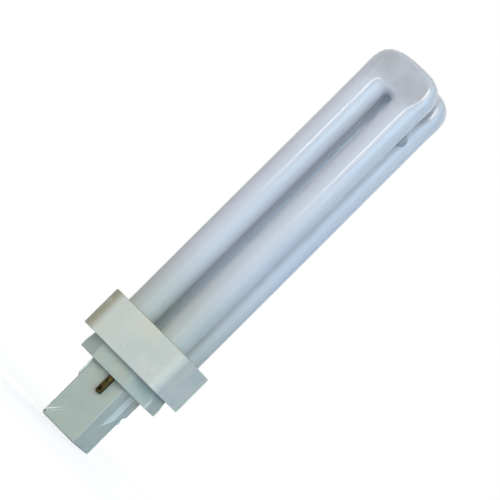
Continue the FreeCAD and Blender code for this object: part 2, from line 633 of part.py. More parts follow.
def make_contact_pin(name, side):
    # A hollow pin, headed over on top of the plate
    body = new_body(f"contact_pin_{name}")
    outline = sketch_on(body, f"{name}_pin_outline", "XZ_Plane")
    head_top = f"({PLATE_TOP} + Sizes.pin_head_thickness)"
    bore = "(Sizes.pin_diameter / 2 - Sizes.pin_wall)"
    add_profile(outline, [
        (bore, "-Sizes.pin_length"),
        ("Sizes.pin_diameter / 2", "-Sizes.pin_length"),
        ("Sizes.pin_diameter / 2", "0"),
        (f"{PIN_SHANK} / 2", "0"),
        (f"{PIN_SHANK} / 2", PLATE_TOP),
        (f"{PIN_HEAD} / 2", PLATE_TOP),
        (f"{PIN_HEAD} / 2", head_top),
        (bore, head_top),
    ])
    turned = spin(body, outline, f"{name}_pin_turned")
    rim = level_edges(turned, -size("Sizes.pin_length"), size(bore) + NEAR)
    fillet(body, turned, f"{name}_pin_mouth", rim, "Sizes.pin_end_round")
    bind(body, "Placement.Base.x", f"{-side} * Sizes.pin_offset")
    bind(body, "Placement.Base.y", f"{side} * {PIN_SPREAD} / 2")
    return body


# Wires: straight runs joined by tangent arcs

def rounded_path(points, radius):
    edges = []
    start = points[0]
    for before, corner, after in zip(points, points[1:], points[2:]):
        arriving = (corner - before).normalize()
        leaving = (after - corner).normalize()
        turn = arriving.getAngle(leaving)
        shorter = min((corner - before).Length, (after - corner).Length)
        setback = min(radius * math.tan(turn / 2), shorter * LONGEST_SETBACK)
        bend = setback / math.tan(turn / 2)
        inwards = (leaving - arriving).normalize()
        middle = corner + inwards * (bend / math.cos(turn / 2) - bend)
        enter = corner - arriving * setback
        leave = corner + leaving * setback
        edges.append(Part.LineSegment(start, enter).toShape())
        edges.append(Part.Arc(enter, middle, leave).toShape())
        start = leave
    edges.append(Part.LineSegment(start, points[-1]).toShape())
    return Part.Wire(edges)


def round_bar(points, radius, diameter):
    path = rounded_path(points, radius)
    first = (points[1] - points[0]).normalize()
    section = Part.Wire(Part.makeCircle(diameter / 2, points[0], first))
    return path.makePipeShell([section], True, False)


def add_shape(label, shape):
    item = doc.addObject("Part::Feature", label)
    item.Shape = shape
    item.Label = label
    return item


def lead_start(side, x_side):
    # Where one wire leaves a pinched seal
    x = size(f"-Sizes.limb_pitch / 2 + {x_side} * Sizes.pinch_wire_gap / 2")
    return Vector(x, side * size("Sizes.pair_pitch / 2"), size(PINCH_END))


def splice_centre(side, height):
    return Vector(size(STARTER_X), side * size("Sizes.splice_spread / 2"), size(height))


def make_pin_lead(name, side):
    # From the seal across to the pin and down its bore
    start = lead_start(side, 1)
    low = start - Vector(0, 0, size("Sizes.lead_run"))
    over = Vector(-side * size("Sizes.pin_offset"), side * size(f"{PIN_SPREAD} / 2"), low.z)
    end = Vector(over.x, over.y, size("Sizes.lead_end_gap - Sizes.pin_length"))
    bar = round_bar([start, low, over, end], size("Sizes.lead_bend"), size("Sizes.lead_diameter"))
    wire = add_shape(f"pin_lead_{name}", bar)

    # The sleeve covers the wire from just under the seal to short of the pin
    begin = start - Vector(0, 0, size("Sizes.sleeve_wall"))
    reach = over - low
    short = size(f"{PIN_HEAD} / 2")
    finish = low + reach * (1 - short / reach.Length)
    bore = size("Sizes.lead_diameter + 2 * Sizes.sleeve_fit")
    outside = bore + 2 * size("Sizes.sleeve_wall")
    covered = [begin, low, finish]
    cover = round_bar(covered, size("Sizes.lead_bend"), outside)
    hollow = round_bar(covered, size("Sizes.lead_bend"), bore)
    sleeve = add_shape(f"pin_sleeve_{name}", cover.cut(hollow))
    return [wire, sleeve]


def make_starter_lead(name, side):
    # From the seal across to the ferrule, and into its top
    start = lead_start(side, -1)
    low = start - Vector(0, 0, size("Sizes.lead_run"))
    end = splice_centre(side, "Sizes.splice_top - Sizes.splice_length / 2 + Sizes.lead_diameter / 2")
    over = Vector(end.x, end.y, low.z)
    bar = round_bar([start, low, over, end], size("Sizes.lead_bend"), size("Sizes.lead_diameter"))
    return add_shape(f"starter_lead_{name}", bar)


def make_splice(name, side):
    body = new_body(f"splice_{name}")
    outline = sketch_on(body, f"{name}_splice_outline", "XY_Plane", "Sizes.splice_top - Sizes.splice_length")
    add_circle(outline, "Sizes.splice_diameter", 0, "0", 0, "0")
    add_circle(outline, "Sizes.splice_diameter - 2 * Sizes.splice_wall", 0, "0", 0, "0")
    pad(body, outline, f"{name}_ferrule", "Sizes.splice_length")
    bind(body, "Placement.Base.x", STARTER_X)
    bind(body, "Placement.Base.y", f"{side} * Sizes.splice_spread / 2")
    return body


def fine_wire(label, start, first_turn, second_turn, end):
    diameter = size("Sizes.fine_wire_diameter")
    bar = round_bar([start, first_turn, second_turn, end], size("Sizes.fine_wire_bend"), diameter)
    return add_shape(label, bar)


def ferrule_entry(side, x_side, height):
    # A point on the line where a fine wire goes up into its ferrule
    offset = Vector(x_side * size("Sizes.wire_spacing / 2"), 0, 0)
    return splice_centre(side, height) + offset


FINE_WIRE_END = "Sizes.splice_top - Sizes.splice_length / 2 - Sizes.fine_wire_diameter"


def make_starter_wire(name, side):
    y = side * size("Sizes.starter_wire_gap / 2")
    start = Vector(size(STARTER_X), y, -size("Sizes.starter_drop"))
    first_turn = start + Vector(0, 0, size("Sizes.wire_rise"))
    second_turn = ferrule_entry(side, -1, "Sizes.turn_level")
    end = ferrule_entry(side, -1, FINE_WIRE_END)
    return fine_wire(f"starter_wire_{name}", start, first_turn, second_turn, end)


def make_capacitor_wire(name, side):
    y = side * size("Sizes.capacitor_wire_gap / 2")
    start = Vector(size(CAPACITOR_X), y, size(f"{LOOSE_FLOOR} + Sizes.capacitor_height"))
    first_turn = Vector(start.x, y, -size("Sizes.climb_level"))
    second_turn = ferrule_entry(side, 1, "Sizes.cross_level")
    end = ferrule_entry(side, 1, FINE_WIRE_END)
    return fine_wire(f"capacitor_wire_{name}", start, first_turn, second_turn, end)


# The starter and the capacitor, loose in the post

def make_starter_bulb():
    body = new_body("starter_bulb")
    outline = sketch_on(body, "starter_outline", "XY_Plane")
    add_circle(outline, STARTER_DIAMETER, 0, "0", 0, "0")
    glass = pad(body, outline, "starter_glass", STARTER_GLASS)
    end_round = f"({STARTER_DIAMETER} - Sizes.starter_end_flat) / 2"
    glass = fillet(body, glass, "starter_end", level_edges(glass, 0), end_round)
    shoulder = f"(({STARTER_DIAMETER} - Sizes.starter_top_flat) / 2)"
    fillet(body, glass, "starter_top", level_edges(glass, size(STARTER_GLASS)), shoulder)
    root = f"({STARTER_GLASS} - {shoulder})"
    seal = sketch_on(body, "starter_seal_outline", "XY_Plane", root)
    add_rectangle(seal, "Sizes.starter_seal_thickness", "Sizes.starter_seal_width")
    pad(body, seal, "starter_seal", f"{shoulder} + Sizes.starter_seal_height")
    bind(body, "Placement.Base.x", STARTER_X)
    bind(body, "Placement.Base.z", LOOSE_FLOOR)
    return body


def make_suppression_capacitor():
    body = new_body("suppression_capacitor")
    outline = sketch_on(body, "capacitor_outline", "XY_Plane")
    add_rectangle(outline, "Sizes.capacitor_thickness", "Sizes.capacitor_width")
    block = pad(body, outline, "capacitor_block", "Sizes.capacitor_height")
    every_edge = [f"Edge{number}" for number in range(1, len(block.Shape.Edges) + 1)]
    fillet(body, block, "capacitor_edges", every_edge, "Sizes.capacitor_round")
    bind(body, "Placement.Base.x", CAPACITOR_X)
    bind(body, "Placement.Base.z", LOOSE_FLOOR)
    return body


nodes = [
    make_discharge_tube(),
    make_tube_spacer(),
    make_tube_holder(),
    make_holder_cement(),
    make_cap_body(),
    make_starter_bulb(),
    make_suppression_capacitor(),
]
for name, side in PIN_SIDES:
    nodes.append(make_contact_pin(name, side))
    nodes.extend(make_pin_lead(name, side))
    nodes.append(make_starter_lead(name, side))
    nodes.append(make_splice(name, side))
    nodes.append(make_starter_wire(name, side))
    nodes.append(make_capacitor_wire(name, side))
doc.recompute()

for item in doc.Objects:
    if "Invalid" in item.State or "Error" in item.State:
        raise RuntimeError(f"{item.Label} failed: {item.State}")
for node in nodes:
    if node.Shape.isNull() or not node.Shape.isValid():
        raise RuntimeError(f"{node.Label} has no valid shape")

os.makedirs("parts", exist_ok=True)
for node in nodes:
    node.Shape.exportStep(f"parts/{node.Label}.step")
    solids = len(node.Shape.Solids)
    print(f"{node.Label}: {solids} solid, {node.Shape.Volume:.1f} cubic mm")
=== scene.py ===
import math

import bmesh
import bpy
from mathutils import Matrix, Quaternion, Vector


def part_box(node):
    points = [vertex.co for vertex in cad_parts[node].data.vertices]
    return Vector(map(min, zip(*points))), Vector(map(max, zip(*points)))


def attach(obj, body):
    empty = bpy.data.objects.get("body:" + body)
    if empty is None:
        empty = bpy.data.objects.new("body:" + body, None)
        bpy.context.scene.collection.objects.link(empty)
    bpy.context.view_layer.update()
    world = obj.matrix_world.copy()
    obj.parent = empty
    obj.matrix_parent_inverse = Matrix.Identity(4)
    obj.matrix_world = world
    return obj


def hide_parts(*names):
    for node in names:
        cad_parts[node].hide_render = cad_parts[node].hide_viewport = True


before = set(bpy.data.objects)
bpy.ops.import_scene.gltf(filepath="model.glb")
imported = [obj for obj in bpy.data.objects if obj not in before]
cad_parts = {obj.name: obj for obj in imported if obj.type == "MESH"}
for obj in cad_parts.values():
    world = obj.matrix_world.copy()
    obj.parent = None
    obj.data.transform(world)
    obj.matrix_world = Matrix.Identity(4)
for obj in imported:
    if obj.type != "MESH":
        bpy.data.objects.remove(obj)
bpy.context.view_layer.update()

scene = bpy.context.scene
mm = 0.001
blockLow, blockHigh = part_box("tube_holder")
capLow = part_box("cap_body")[0]


# Small helpers for shader trees

def setSocket(tree, socket, value):
    if isinstance(value, bpy.types.NodeSocket):
        tree.links.new(value, socket)
    elif isinstance(value, tuple) and socket.type == "RGBA":
        socket.default_value = (*value[:3], 1.0)
    else:
        socket.default_value = value


def calc(tree, operation, first, second=0.0, third=0.0):
    node = tree.nodes.new("ShaderNodeMath")
    node.operation = operation
    for socket, value in zip(node.inputs, (first, second, third)):
        setSocket(tree, socket, value)
    return node.outputs[0]


def vectorCalc(tree, operation, first, second=(0.0, 0.0, 0.0), output="Vector"):
    node = tree.nodes.new("ShaderNodeVectorMath")
    node.operation = operation
    setSocket(tree, node.inputs[0], first)
    setSocket(tree, node.inputs[1], second)
    return node.outputs[output]


def ramp(tree, value, low, high, start=0.0, end=1.0):
    node = tree.nodes.new("ShaderNodeMapRange")
    node.interpolation_type = "SMOOTHSTEP"
    for name, number in zip(("Value", "From Min", "From Max", "To Min", "To Max"),
                            (value, low, high, start, end)):
        setSocket(tree, node.inputs[name], number)
    return node.outputs["Result"]


def mixColor(tree, factor, first, second):
    node = tree.nodes.new("ShaderNodeMix")
    node.data_type = "RGBA"
    for socket, value in zip((node.inputs[0], node.inputs[6], node.inputs[7]), (factor, first, second)):
        setSocket(tree, socket, value)
    return node.outputs[2]


def noise(tree, place, scale, detail=3.0, roughness=0.55):
    node = tree.nodes.new("ShaderNodeTexNoise")
    for name, value in (("Vector", place), ("Scale", scale), ("Detail", detail), ("Roughness", roughness)):
        setSocket(tree, node.inputs[name], value)
    return node.outputs["Fac"]


def mapped(tree, place, move=(0, 0, 0), turn=(0, 0, 0), stretch=(1, 1, 1)):
    node = tree.nodes.new("ShaderNodeMapping")
    node.vector_type = "POINT"
    for name, value in (("Vector", place), ("Location", move), ("Rotation", turn), ("Scale", stretch)):
        setSocket(tree, node.inputs[name], value)
    return node.outputs["Vector"]


def axes(tree, place):
    node = tree.nodes.new("ShaderNodeSeparateXYZ")
    setSocket(tree, node.inputs[0], place)
    return node.outputs["X"], node.outputs["Y"], node.outputs["Z"]


def bump(tree, height, strength, distance):
    node = tree.nodes.new("ShaderNodeBump")
    for name, value in (("Height", height), ("Strength", strength), ("Distance", distance)):
        setSocket(tree, node.inputs[name], value)
    return node.outputs["Normal"]


# Kinds of group sockets that aren't plain numbers
socketTypes = {"Vector": "NodeSocketVector", "Half Size": "NodeSocketVector"}


def newGroup(name, inputs, outputs):
    tree = bpy.data.node_groups.new(name, "ShaderNodeTree")
    for side, sockets in (("INPUT", inputs), ("OUTPUT", outputs)):
        for socket in sockets:
            kind = socketTypes.get(socket, "NodeSocketFloat")
            tree.interface.new_socket(name=socket, in_out=side, socket_type=kind)
    source = tree.nodes.new("NodeGroupInput").outputs
    target = tree.nodes.new("NodeGroupOutput").inputs
    return tree, source, target


def useGroup(tree, group, **values):
    node = tree.nodes.new("ShaderNodeGroup")
    node.node_tree = group
    for name, value in values.items():
        setSocket(tree, node.inputs[name.replace("_", " ")], value)
    return node.outputs


def seenDirectly(tree):
    # 1 for the eye, in reflections and through glass, 0 for what falls on other things
    path = tree.nodes.new("ShaderNodeLightPath").outputs
    seen = calc(tree, "MAXIMUM", path["Is Camera Ray"], path["Is Glossy Ray"])
    return calc(tree, "MAXIMUM", seen, path["Is Transmission Ray"])


def newMaterial(name, **shaderValues):
    material = bpy.data.materials.new(name)
    material.use_nodes = True
    tree = material.node_tree
    shader = tree.nodes["Principled BSDF"]
    for socket, value in shaderValues.items():
        setSocket(tree, shader.inputs[socket.replace("_", " ")], value)
    place = tree.nodes.new("ShaderNodeTexCoord").outputs["Object"]
    return material, tree, shader, place


def dress(material, *nodeNames):
    for nodeName in nodeNames:
        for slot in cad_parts[nodeName].material_slots:
            slot.material = material


# Camera

camera = {
    "azimuth": 18.0,  # degrees round the lamp from its front
    "height": 12.0,  # mm above the seat
    "distance": 1100.0,  # mm from the lamp's axis
    "lens": 242.0,  # mm, like the sensor's width
    "sensor": 36.0,
    "nearest": 0.01,  # metres, nothing nearer or farther is drawn
    "farthest": 20.0,
    "aimSide": 0.42,  # mm to the right of the axis
    "aimHeight": 61.0,  # mm above the seat
    "roll": 45.1,  # degrees, the lamp leans to the right in the picture
}


def around(azimuth, elevation=0.0):
    turn, lift = math.radians(azimuth), math.radians(elevation)
    level = math.cos(lift)
    return Vector((math.sin(turn) * level, -math.cos(turn) * level, math.sin(lift)))


def makeCamera(s):
    outwards = around(s["azimuth"])
    right = around(s["azimuth"] + 90)
    aim = (right * s["aimSide"] + Vector((0, 0, s["aimHeight"]))) * mm
    place = aim + outwards * s["distance"] * mm
    place.z = s["height"] * mm
    data = bpy.data.cameras.new("camera")
    data.lens = s["lens"]
    data.sensor_width = s["sensor"]
    data.clip_start = s["nearest"]
    data.clip_end = s["farthest"]
    item = bpy.data.objects.new("camera", data)
    scene.collection.objects.link(item)
    item.rotation_mode = "QUATERNION"
    facing = (aim - place).to_track_quat("-Z", "Y")
    item.rotation_quaternion = facing @ Quaternion((0, 0, 1), math.radians(s["roll"]))
    item.location = place
    scene.camera = item


makeCamera(camera)
print("camera placed")


# Floor, sky and lamps

studio = {
    "floorSize": 3.0,  # metres, like all lengths here
    "floorDrop": 0.00005,  # keeps the floor and the post's end from sharing a plane
    "floorColor": (0.55, 0.6, 0.66),  # what the floor throws back on the lamp
    "floorOwnLight": 0.53,  # part of the floor's white that needs no lamp, for the eye and in reflections
    "floorLit": (0.66, 0.66, 0.66),  # part that takes shadows
    "farLit": (0.0, 0.0, 0.0),
    "fadeFrom": 0.10,  # from the lamp, past here the floor turns plain white
    "fadeTo": 0.34,
    "skyLight": 0.10,
    "skyTint": (0.88, 0.95, 1.0),
    "white": (1.0, 1.0, 1.0),
}

# Azimuth and elevation in degrees, distance and size in metres, power in watts. A lamp with glare
# shows in gloss, and one with onlyGlare gives no soft light besides
lamps = {
    "mainSoft": {"azimuth": 25, "elevation": 14, "distance": 1.3, "wide": 0.9, "high": 0.85,
                 "power": 8.5, "tint": (1.0, 0.98, 0.93), "glare": False},
    "rightSoft": {"azimuth": 57, "elevation": 3, "distance": 1.0, "wide": 0.62, "high": 1.1,
                  "power": 5.1, "tint": (0.39, 0.78, 1.0), "glare": True},
    "brightLine": {"azimuth": 11, "elevation": 3, "distance": 1.25, "wide": 0.13, "high": 1.0,
                   "power": 4.2, "tint": (1.0, 0.98, 0.93), "glare": True},
    "warmFill": {"azimuth": -34, "elevation": 15, "distance": 1.3, "wide": 0.95, "high": 0.85,
                 "power": 3.3, "tint": (1.0, 0.80, 0.66), "glare": False},
    "coolLeft": {"azimuth": -75, "elevation": 12, "distance": 1.1, "wide": 0.4, "high": 0.8,
                 "power": 1.5, "tint": (0.50, 0.85, 1.0), "glare": False},
    "coolRight": {"azimuth": 98, "elevation": 6, "distance": 1.0, "wide": 0.5, "high": 0.9,
                  "power": 1.2, "tint": (0.25, 0.50, 1.0), "glare": False},
    "shoulderGlint": {"azimuth": 23, "elevation": 27, "distance": 1.0, "wide": 0.34, "high": 0.5,
                      "power": 4.2, "tint": (1.0, 1.0, 1.0), "glare": True, "onlyGlare": True},
    "backSoft": {"azimuth": 190, "elevation": 34, "distance": 1.3, "wide": 0.9, "high": 0.7,
                 "power": 8.0, "tint": (1.0, 0.98, 0.95), "glare": False},
}


def makeFloor(s):
    work = bmesh.new()
    bmesh.ops.create_grid(work, x_segments=1, y_segments=1, size=s["floorSize"] / 2)
    bmesh.ops.translate(work, verts=work.verts, vec=(0, 0, capLow.z - s["floorDrop"]))
    mesh = bpy.data.meshes.new("floor")
    work.to_mesh(mesh)
    work.free()
    floor = bpy.data.objects.new("floor", mesh)
    scene.collection.objects.link(floor)
    material, tree, shader, place = newMaterial("paleFloor", Roughness=0.8)
    seen = seenDirectly(tree)
    away = vectorCalc(tree, "LENGTH", place, output="Value")
    far = ramp(tree, away, s["fadeFrom"], s["fadeTo"])
    own = ramp(tree, far, 0.0, 1.0, s["floorOwnLight"], 1.0)
    setSocket(tree, shader.inputs["Emission Color"], s["white"])
    setSocket(tree, shader.inputs["Emission Strength"], calc(tree, "MULTIPLY", seen, own))
    lit = mixColor(tree, far, s["floorLit"], s["farLit"])
    setSocket(tree, shader.inputs["Base Color"], mixColor(tree, seen, s["floorColor"], lit))
    # From below, the floor isn't there
    choice = tree.nodes.new("ShaderNodeMixShader")
    below = tree.nodes.new("ShaderNodeNewGeometry").outputs["Backfacing"]
    nothing = tree.nodes.new("ShaderNodeBsdfTransparent").outputs[0]
    for socket, value in zip(choice.inputs, (below, shader.outputs[0], nothing)):
        tree.links.new(value, socket)
    tree.links.new(choice.outputs[0], tree.nodes["Material Output"].inputs["Surface"])
    mesh.materials.append(material)


def makeSky(s):
    world = bpy.data.worlds.new("studio")
    world.use_nodes = True
    tree = world.node_tree
    background = tree.nodes["Background"]
    seen = seenDirectly(tree)
    setSocket(tree, background.inputs["Strength"], ramp(tree, seen, 0.0, 1.0, s["skyLight"], 1.0))
    setSocket(tree, background.inputs["Color"], mixColor(tree, seen, s["skyTint"], s["white"]))
    scene.world = world


def makeLamp(name, s):
    direction = around(s["azimuth"], s["elevation"])
    data = bpy.data.lights.new(name, "AREA")
    data.shape = "RECTANGLE"
    data.size = s["wide"]
    data.size_y = s["high"]
    data.energy = s["power"]
    data.color = s["tint"]
    item = bpy.data.objects.new(name, data)
    scene.collection.objects.link(item)
    item.visible_camera = False
    item.visible_glossy = s["glare"]
    item.visible_diffuse = not s.get("onlyGlare", False)
    item.location = Vector((0, 0, camera["aimHeight"] * mm)) + direction * s["distance"]
    item.rotation_mode = "QUATERNION"
    item.rotation_quaternion = direction.to_track_quat("Z", "Y")


makeFloor(studio)
makeSky(studio)
for lampName, lampSettings in lamps.items():
    makeLamp(lampName, lampSettings)
scene.view_settings.view_transform = "Standard"
print("floor, sky and lamps set")


# Effects that several materials share. A span says from where to where a change runs

effects = {
    "fineShare": 0.6,  # of the moulded texture, the rest is coarse
    "coarseScale": 0.16,  # as a part of the given scale, like the next
    "cloudScale": 0.05,
    "cloudSpan": (0.32, 0.68),
    "hairFamilies": (((0.3, 0.2, 0.5), 0.0), ((-0.5, 0.9, -0.4), 7.0)),  # turn and shift of each
    "hairStretch": 0.035,
    "hairWidth": 0.006,
    "hairPatchScale": 0.3,
    "hairPatchSpan": (0.52, 0.66),
    "edgeWobbleScale": 900.0,
    "edgeWobbleSpan": (0.3, 0.75),
    "edgeWidths": (0.35, 1.5),  # least and most, as a part of the given width
    "speckChance": 0.62,  # cells below this stay clean
    "speckFade": 0.05,
    "dustScale": 420.0,
    "dustUpSpan": (0.25, 0.95),  # how squarely a face has to look up
    "dustPatchSpan": (0.35, 0.7),
}


def makeMouldedSkin(s):
    # The faint texture of a moulded face, and slow changes of tone
    tree, source, target = newGroup("mouldedSkin", ("Vector", "Scale"), ("Height", "Cloud"))
    fine = noise(tree, source["Vector"], source["Scale"], detail=4.0, roughness=0.6)
    coarseScale = calc(tree, "MULTIPLY", source["Scale"], s["coarseScale"])
    coarse = noise(tree, source["Vector"], coarseScale, detail=2.0)
    coarse = calc(tree, "MULTIPLY", coarse, 1 - s["fineShare"])
    setSocket(tree, target["Height"], calc(tree, "MULTIPLY_ADD", fine, s["fineShare"], coarse))
    cloudScale = calc(tree, "MULTIPLY", source["Scale"], s["cloudScale"])
    cloud = noise(tree, source["Vector"], cloudScale)
    setSocket(tree, target["Cloud"], ramp(tree, cloud, *s["cloudSpan"]))
    return tree


def makeHairScratches(s):
    # Families of thin handling marks, which run where a stretched noise crosses its middle
    tree, source, target = newGroup("hairScratches", ("Vector", "Scale", "Amount"), ("Mask",))
    noiseMiddle = 0.5
    total = None
    for turn, shift in s["hairFamilies"]:
        turned = mapped(tree, source["Vector"], (shift, 0, 0), turn, (1.0, 1.0, s["hairStretch"]))
        line = noise(tree, turned, source["Scale"], detail=1.0, roughness=0.4)
        line = calc(tree, "ABSOLUTE", calc(tree, "SUBTRACT", line, noiseMiddle))
        line = ramp(tree, line, 0.0, s["hairWidth"], 1.0, 0.0)
        patchScale = calc(tree, "MULTIPLY", source["Scale"], s["hairPatchScale"])
        patch = noise(tree, source["Vector"], patchScale, detail=2.0)
        line = calc(tree, "MULTIPLY", line, ramp(tree, patch, *s["hairPatchSpan"]))
        total = line if total is None else calc(tree, "MAXIMUM", total, line)
    setSocket(tree, target["Mask"], calc(tree, "MULTIPLY", total, source["Amount"]))
    return tree


def makeBoxEdges(s):
    # Marks the edges of a box round the origin of the given point
    tree, source, target = newGroup("boxEdges", ("Vector", "Half Size", "Width"), ("Mask",))
    gap = vectorCalc(tree, "SUBTRACT", source["Half Size"], vectorCalc(tree, "ABSOLUTE", source["Vector"]))
    x, y, z = axes(tree, gap)
    least = calc(tree, "MINIMUM", x, y)
    most = calc(tree, "MAXIMUM", x, y)
    second = calc(tree, "MAXIMUM", least, calc(tree, "MINIMUM", most, z))
    wobble = noise(tree, source["Vector"], s["edgeWobbleScale"])
    wobble = ramp(tree, wobble, *s["edgeWobbleSpan"], *s["edgeWidths"])
    width = calc(tree, "MULTIPLY", source["Width"], wobble)
    setSocket(tree, target["Mask"], ramp(tree, calc(tree, "DIVIDE", second, width), 0.0, 1.0, 1.0, 0.0))
    return tree


def makeSpecks(s):
    # Small scattered spots of dirt
    tree, source, target = newGroup("specks", ("Vector", "Scale", "Size"), ("Mask",))
    cell = tree.nodes.new("ShaderNodeTexVoronoi")
    setSocket(tree, cell.inputs["Vector"], source["Vector"])
    setSocket(tree, cell.inputs["Scale"], source["Scale"])
    chance = axes(tree, cell.outputs["Color"])[0]
    size = calc(tree, "MULTIPLY", source["Size"], ramp(tree, chance, s["speckChance"], 1.0))
    near = calc(tree, "SUBTRACT", size, cell.outputs["Distance"])
    setSocket(tree, target["Mask"], ramp(tree, near, 0.0, s["speckFade"]))
    return tree


def makeRestingDust(s):
    # Dust on what faces up, in soft patches
    tree, source, target = newGroup("restingDust", ("Vector", "Amount"), ("Mask",))
    up = axes(tree, tree.nodes.new("ShaderNodeNewGeometry").outputs["Normal"])[2]
    patch = noise(tree, source["Vector"], s["dustScale"], detail=4.0, roughness=0.65)
    dust = calc(tree, "MULTIPLY", ramp(tree, up, *s["dustUpSpan"]), ramp(tree, patch, *s["dustPatchSpan"]))
    setSocket(tree, target["Mask"], calc(tree, "MULTIPLY", dust, source["Amount"]))
    return tree


mouldedSkin = makeMouldedSkin(effects)
hairScratches = makeHairScratches(effects)
boxEdges = makeBoxEdges(effects)
specks = makeSpecks(effects)
restingDust = makeRestingDust(effects)
print("shared effects made")


# Materials. Each relief gives strength and depth in metres, each share how strongly a mark covers

def partly(tree, share, mask, under, over):
    return mixColor(tree, calc(tree, "MULTIPLY", mask, share), under, over)


def addSpecks(tree, place, color, s):
    dots = useGroup(tree, specks, Vector=place, Scale=s["speckScale"], Size=s["speckSize"])
    return partly(tree, s["speckShare"], dots["Mask"], color, s["speckColor"])


glassLook = {
    "white": (0.56, 0.585, 0.655),
    "thinPowder": (0.525, 0.555, 0.625),
    "skinScale": 900.0,
    "skinStretch": 0.22,
    "relief": (0.12, 0.0002),
    "nearBase": (0.44, 0.47, 0.45),  # the limbs are darker towards the block
    "baseFrom": 16.0,  # mm above the seat
    "baseTo": 62.0,
    "bendFlatShade": (0.42, 0.425, 0.465),  # painted shade on the front and back flats of the bends
    "bendPatches": 150.0,
    "bendPatchSpan": (0.34, 0.66),
    "bendPatchDepth": (0.62, 1.0),
    "bendFrom": 124.0,
    "bendTo": 133.0,
    "flatFrom": 0.80,  # how squarely the pressed flats face front or back
    "flatTo": 0.98,
    "glossFrom": 66.0,  # the lower half is handled more and has lost its gloss
    "glossTo": 108.0,
    "glossLeft": 0.3,
    "gloss": 0.9,
    "waveScale": 90.0,  # slow unevenness of the clear outside
    "waveStretch": 0.2,
    "waveRelief": (0.05, 0.0005),
    "speckScale": 420.0,
    "speckSize": 0.16,
    "speckShare": 0.25,
    "speckColor": (0.36, 0.37, 0.36),
    "dust": 0.5,
    "dustColor": (0.62, 0.6, 0.56),
}


def makeGlass(s):
    material, tree, shader, place = newMaterial(
        "powderCoatedGlass", Roughness=0.5, Specular_IOR_Level=0.2, Coat_Roughness=0.045,
        Coat_IOR=1.5, Subsurface_Weight=0.5, Subsurface_Scale=0.004)
    shader.inputs["Subsurface Radius"].default_value = (1.0, 1.0, 1.0)
    long = mapped(tree, place, stretch=(1.0, 1.0, s["skinStretch"]))
    skin = useGroup(tree, mouldedSkin, Vector=long, Scale=s["skinScale"])
    color = mixColor(tree, skin["Cloud"], s["white"], s["thinPowder"])
    height = axes(tree, place)[2]
    gloss = ramp(tree, height, s["glossFrom"] * mm, s["glossTo"] * mm, s["glossLeft"], s["gloss"])
    setSocket(tree, shader.inputs["Coat Weight"], gloss)
    low = ramp(tree, height, s["baseFrom"] * mm, s["baseTo"] * mm, 1.0, 0.0)
    color = mixColor(tree, low, color, s["nearBase"])
    # Painted shade: the bends' flats are darker where they face squarely front or back
    across = axes(tree, tree.nodes.new("ShaderNodeNewGeometry").outputs["Normal"])[1]
    flat = ramp(tree, calc(tree, "ABSOLUTE", across), s["flatFrom"], s["flatTo"])
    bendShade = calc(tree, "MULTIPLY", ramp(tree, height, s["bendFrom"] * mm, s["bendTo"] * mm), flat)
    patches = noise(tree, place, s["bendPatches"])
    patches = ramp(tree, patches, *s["bendPatchSpan"], *s["bendPatchDepth"])
    color = mixColor(tree, calc(tree, "MULTIPLY", bendShade, patches), color, s["bendFlatShade"])
    color = addSpecks(tree, place, color, s)
    dust = useGroup(tree, restingDust, Vector=place, Amount=s["dust"])["Mask"]
    color = mixColor(tree, dust, color, s["dustColor"])
    setSocket(tree, shader.inputs["Base Color"], color)
    setSocket(tree, shader.inputs["Normal"], bump(tree, skin["Height"], *s["relief"]))
    wave = noise(tree, mapped(tree, place, stretch=(1.0, 1.0, s["waveStretch"])), s["waveScale"], detail=1.0)
    setSocket(tree, shader.inputs["Coat Normal"], bump(tree, wave, *s["waveRelief"]))
    return material


blockLook = {
    "plain": (0.56, 0.58, 0.535),
    "cool": (0.50, 0.545, 0.53),
    "skinScale": 2600.0,
    "relief": (0.25, 0.00008),
    "warm": (0.59, 0.57, 0.48),
    "warmScale": 75.0,
    "warmSpan": (0.4, 0.68),
    "warmUp": (-1.0, 7.5),  # mm above the middle of the block
    "warmLeft": (4.0, -16.0),  # mm to the right of the middle
    "warmShare": 0.75,
    "brown": (0.32, 0.305, 0.235),  # darker and browner towards the left front corner
    "brownFrom": 5.7,  # mm from the left front corner, in plan
    "brownTo": 2.6,
    "brownScale": 190.0,
    "brownSpan": (0.2, 0.5),
    "brownDepth": (0.4, 0.95),
    "paleMark": (0.68, 0.69, 0.66),
    "edge": 0.55,  # mm of wear at the edges
    "edgeShare": 0.35,
    "lineScale": 160.0,
    "lineAmount": 0.25,
    "lineDepth": 0.8,
    "speckScale": 520.0,
    "speckSize": 0.2,
    "speckShare": 0.5,
    "speckColor": (0.25, 0.23, 0.18),
    "dust": 0.6,
    "dustColor": (0.5, 0.48, 0.43),
    "roughness": 0.36,
    "cloudRoughness": 0.12,  # added where the tone is cool
    "dustRoughness": 0.3,
}


